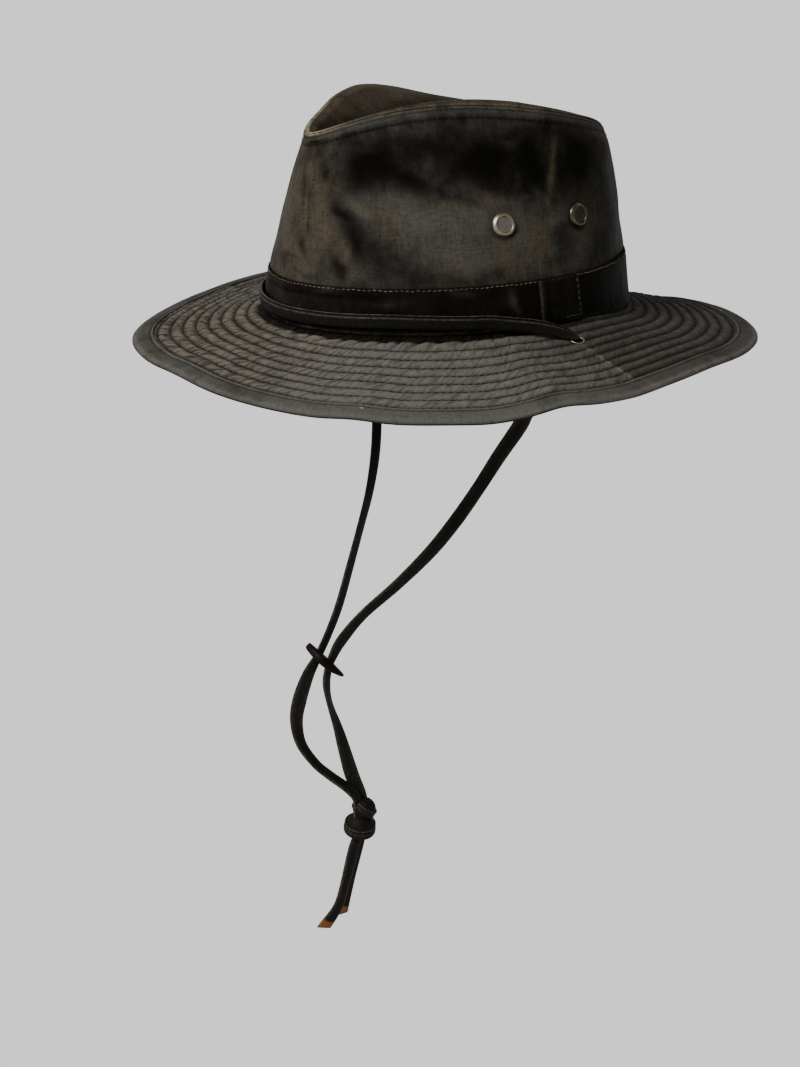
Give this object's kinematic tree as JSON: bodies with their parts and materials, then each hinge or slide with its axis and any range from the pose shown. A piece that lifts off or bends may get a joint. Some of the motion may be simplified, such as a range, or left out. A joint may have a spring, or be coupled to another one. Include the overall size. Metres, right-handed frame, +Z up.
{
  "type": "outdoor hat with chin lace",
  "caption": "Weathered waxed-cotton outdoor hat with a pinched crown, quilted bound brim, screened vents and a chin lace with leather slider and knot.",
  "frame": {"origin": "centre of the head opening, level with the seam of crown and brim, where the head carries the hat", "axes": "+Z up through the crown, -Y to the front of the hat, +X to the wearer's left"},
  "size_m": [0.2998, 0.339, 0.4369],
  "materials": {
    "crown_cloth": "worn waxed cotton",
    "brim_cloth": "worn waxed cotton, quilted",
    "binding_cloth": "worn waxed cotton tape",
    "lace_leather": "waxed lace leather",
    "slider_leather": "smooth",
    "brass": "antique, dull",
    "screen": "woven wire, dull"
  },
  "bodies": {
    "root": {"crown_side": "crown_cloth", "crown_tip": "crown_cloth", "hat_band": "crown_cloth", "band_tab": "crown_cloth", "brim": "brim_cloth", "brim_binding": "binding_cloth", "vent_ring_left_front": "brass", "vent_ring_left_back": "brass", "vent_ring_right_front": "brass", "vent_ring_right_back": "brass", "vent_screen_left_front": "screen", "vent_screen_left_back": "screen", "vent_screen_right_front": "screen", "vent_screen_right_back": "screen", "lace_eyelet_left": "brass", "lace_eyelet_right": "brass", "crown_lace": "lace_leather", "strap_left": "lace_leather", "strap_right": "lace_leather", "strap_slider": "slider_leather", "strap_knot": "lace_leather", "strap_tail_short": "lace_leather", "strap_tail_long": "lace_leather"}
  },
  "joints": []
}
